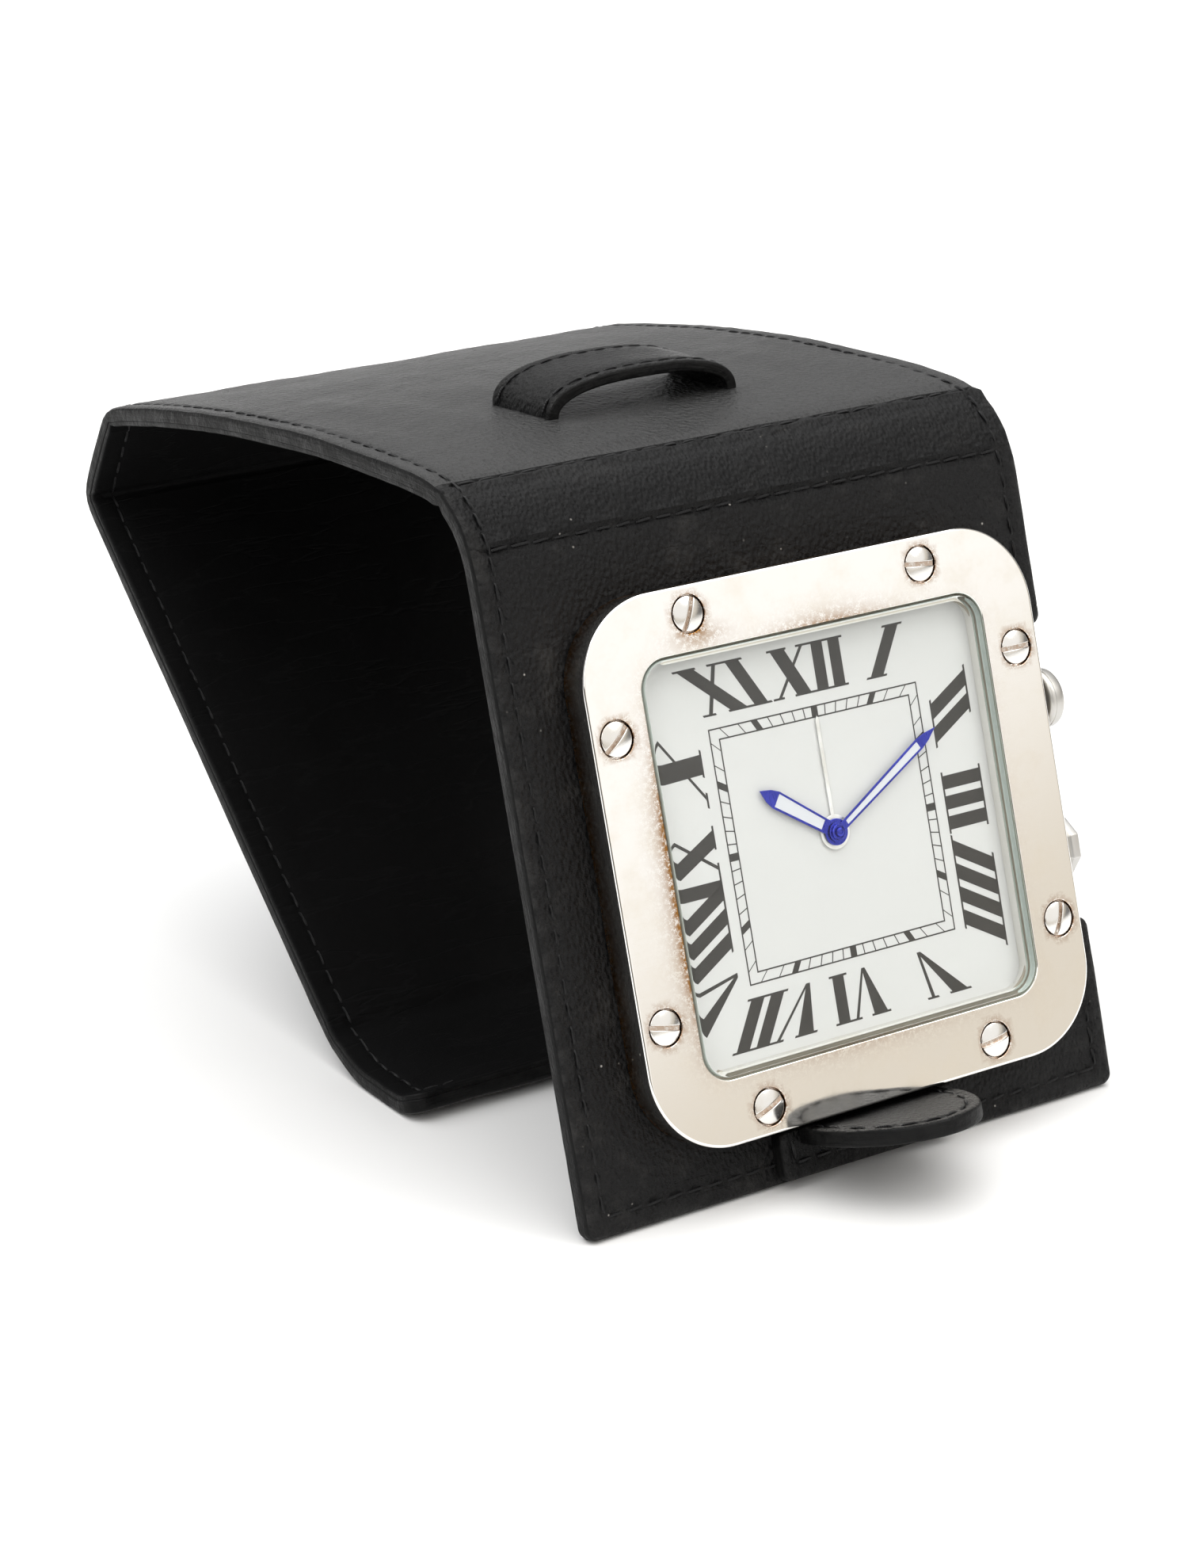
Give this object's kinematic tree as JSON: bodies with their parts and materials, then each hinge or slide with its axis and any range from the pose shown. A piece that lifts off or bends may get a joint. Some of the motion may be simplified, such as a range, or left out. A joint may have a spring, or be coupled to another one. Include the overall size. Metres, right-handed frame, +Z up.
{
  "type": "travel alarm clock",
  "caption": "Square steel alarm clock set in a folding black leather case that opens out into its own easel stand.",
  "frame": {"origin": "centre of the object's footprint, on the table it stands on", "axes": "+Z up, -Y out of the front of the clock towards the viewer, +X to the right of the dial"},
  "size_m": [0.0908, 0.1594, 0.1034],
  "materials": {
    "case_leather": "fine grained black leather, satin",
    "case_lining": "smooth black lining leather, matt",
    "strap_leather": "black leather with painted edges",
    "polished_steel": "mirror polished, lightly tarnished at the edges",
    "screw_steel": "polished",
    "knob_steel": "polished",
    "back_steel": "satin",
    "surround_steel": "polished",
    "dial_white": "matt off-white with black printing",
    "blued_hand": "blue with a white filling",
    "silver_hand": "polished",
    "movement_brass": "plain",
    "coil_copper": "lacquered wire",
    "movement_plastic": "plain",
    "circuit_board": "plain",
    "crystal_glass": "clear flat crystal",
    "gasket_rubber": "plain"
  },
  "bodies": {
    "clock": {"front_panel_leather": "case_leather", "front_panel_lining": "case_lining", "strap_root": "strap_leather", "case_body": "polished_steel", "bezel": "polished_steel", "bezel_screw_1": "screw_steel", "bezel_screw_2": "screw_steel", "bezel_screw_3": "screw_steel", "bezel_screw_4": "screw_steel", "bezel_screw_5": "screw_steel", "bezel_screw_6": "screw_steel", "bezel_screw_7": "screw_steel", "bezel_screw_8": "screw_steel", "crystal_gasket": "gasket_rubber", "crystal": "crystal_glass", "dial_surround": "surround_steel", "dial": "dial_white", "dial_holder": "movement_plastic", "movement_plate": "movement_plastic", "circuit_board": "circuit_board", "stepper_coil": "coil_copper", "buzzer_disc": "movement_brass", "battery_cell": "silver_hand", "battery_contact": "movement_brass", "back_cover": "back_steel", "back_screw_1": "back_steel", "back_screw_2": "back_steel", "back_screw_3": "back_steel", "back_screw_4": "back_steel", "clamp_frame": "back_steel"},
    "minute_hand": {"minute_hand": "blued_hand", "hand_cap": "blued_hand", "cannon_pinion": "movement_brass"},
    "minute_wheel": {"minute_wheel": "movement_brass"},
    "hour_hand": {"hour_hand": "blued_hand", "hour_wheel": "movement_brass"},
    "alarm_hand": {"alarm_hand": "silver_hand", "alarm_wheel": "movement_brass"},
    "crown_stem": {"setting_crown_stem": "back_steel"},
    "setting_crown": {"setting_crown": "knob_steel"},
    "alarm_button": {"alarm_button": "knob_steel", "alarm_button_stem": "back_steel"},
    "battery_hatch": {"battery_hatch": "back_steel"},
    "strap_tongue": {"strap_tongue": "strap_leather"},
    "front_fold": {"front_fold_leather": "case_leather", "front_fold_lining": "case_lining"},
    "top_panel": {"top_panel_leather": "case_leather", "top_panel_lining": "case_lining", "keeper_loop": "strap_leather"},
    "rear_fold": {"rear_fold_leather": "case_leather", "rear_fold_lining": "case_lining"},
    "rear_panel": {"rear_panel_leather": "case_leather", "rear_panel_lining": "case_lining"},
    "lip": {"lip_leather": "case_leather", "lip_lining": "case_lining"}
  },
  "joints": [
    {"name": "minute_hand_turn", "type": "hinge", "parent": "clock", "child": "minute_hand", "pos_m": [0.00195, -0.04707, 0.04458], "axis": [0, 0.9563, -0.2924], "continuous": true},
    {"name": "minute_wheel_turn", "type": "hinge", "parent": "clock", "child": "minute_wheel", "pos_m": [0.00795, -0.04707, 0.04458], "axis": [0, 0.9563, -0.2924], "continuous": true},
    {"name": "hour_hand_turn", "type": "hinge", "parent": "clock", "child": "hour_hand", "pos_m": [0.00195, -0.04707, 0.04458], "axis": [0, 0.9563, -0.2924], "continuous": true},
    {"name": "alarm_hand_turn", "type": "hinge", "parent": "clock", "child": "alarm_hand", "pos_m": [0.00195, -0.04707, 0.04458], "axis": [0, 0.9563, -0.2924], "continuous": true},
    {"name": "crown_pull", "type": "slide", "parent": "clock", "child": "crown_stem", "axis": [1, 0, 0], "range_m": [0, 0.0012]},
    {"name": "crown_turn", "type": "hinge", "parent": "crown_stem", "child": "setting_crown", "pos_m": [0.04095, -0.0511, 0.03515], "axis": [1, 0, 0], "continuous": true},
    {"name": "alarm_button_press", "type": "slide", "parent": "clock", "child": "alarm_button", "axis": [-1, 0, 0], "range_m": [0, 0.001], "stiffness_N_per_m": 400, "springref_m": -0.0003},
    {"name": "battery_hatch_turn", "type": "hinge", "parent": "clock", "child": "battery_hatch", "pos_m": [0.01395, -0.04492, 0.03451], "axis": [0, -0.9563, 0.2924], "range_deg": [0, 60]},
    {"name": "strap_fold", "type": "hinge", "parent": "clock", "child": "strap_tongue", "pos_m": [0.00055, -0.06132, 0.00617], "axis": [1, 0, 0], "range_deg": [0, 90]},
    {"name": "front_fold_low", "type": "hinge", "parent": "clock", "child": "front_fold", "pos_m": [0, -0.03292, 0.09087], "axis": [1, 0, 0], "range_deg": [-12, 32]},
    {"name": "front_fold_high", "type": "hinge", "parent": "front_fold", "child": "top_panel", "pos_m": [0, -0.02623, 0.09666], "axis": [1, 0, 0], "range_deg": [-14, 47]},
    {"name": "rear_fold_high", "type": "hinge", "parent": "top_panel", "child": "rear_fold", "pos_m": [0, 0.07202, 0.08524], "axis": [-1, 0, 0], "range_deg": [-53, 12]},
    {"name": "rear_fold_low", "type": "hinge", "parent": "rear_fold", "child": "rear_panel", "pos_m": [0, 0.08132, 0.06912], "axis": [-1, 0, 0], "range_deg": [-77, 12]},
    {"name": "lip_fold", "type": "hinge", "parent": "rear_panel", "child": "lip", "pos_m": [0, 0.00891, 0.00331], "axis": [-1, 0, 0], "range_deg": [-38, 45]}
  ],
  "couplings": [
    {"joint": "minute_wheel_turn", "follows": "minute_hand_turn", "ratio": -0.33333},
    {"joint": "hour_hand_turn", "follows": "minute_hand_turn", "ratio": 0.083333}
  ]
}
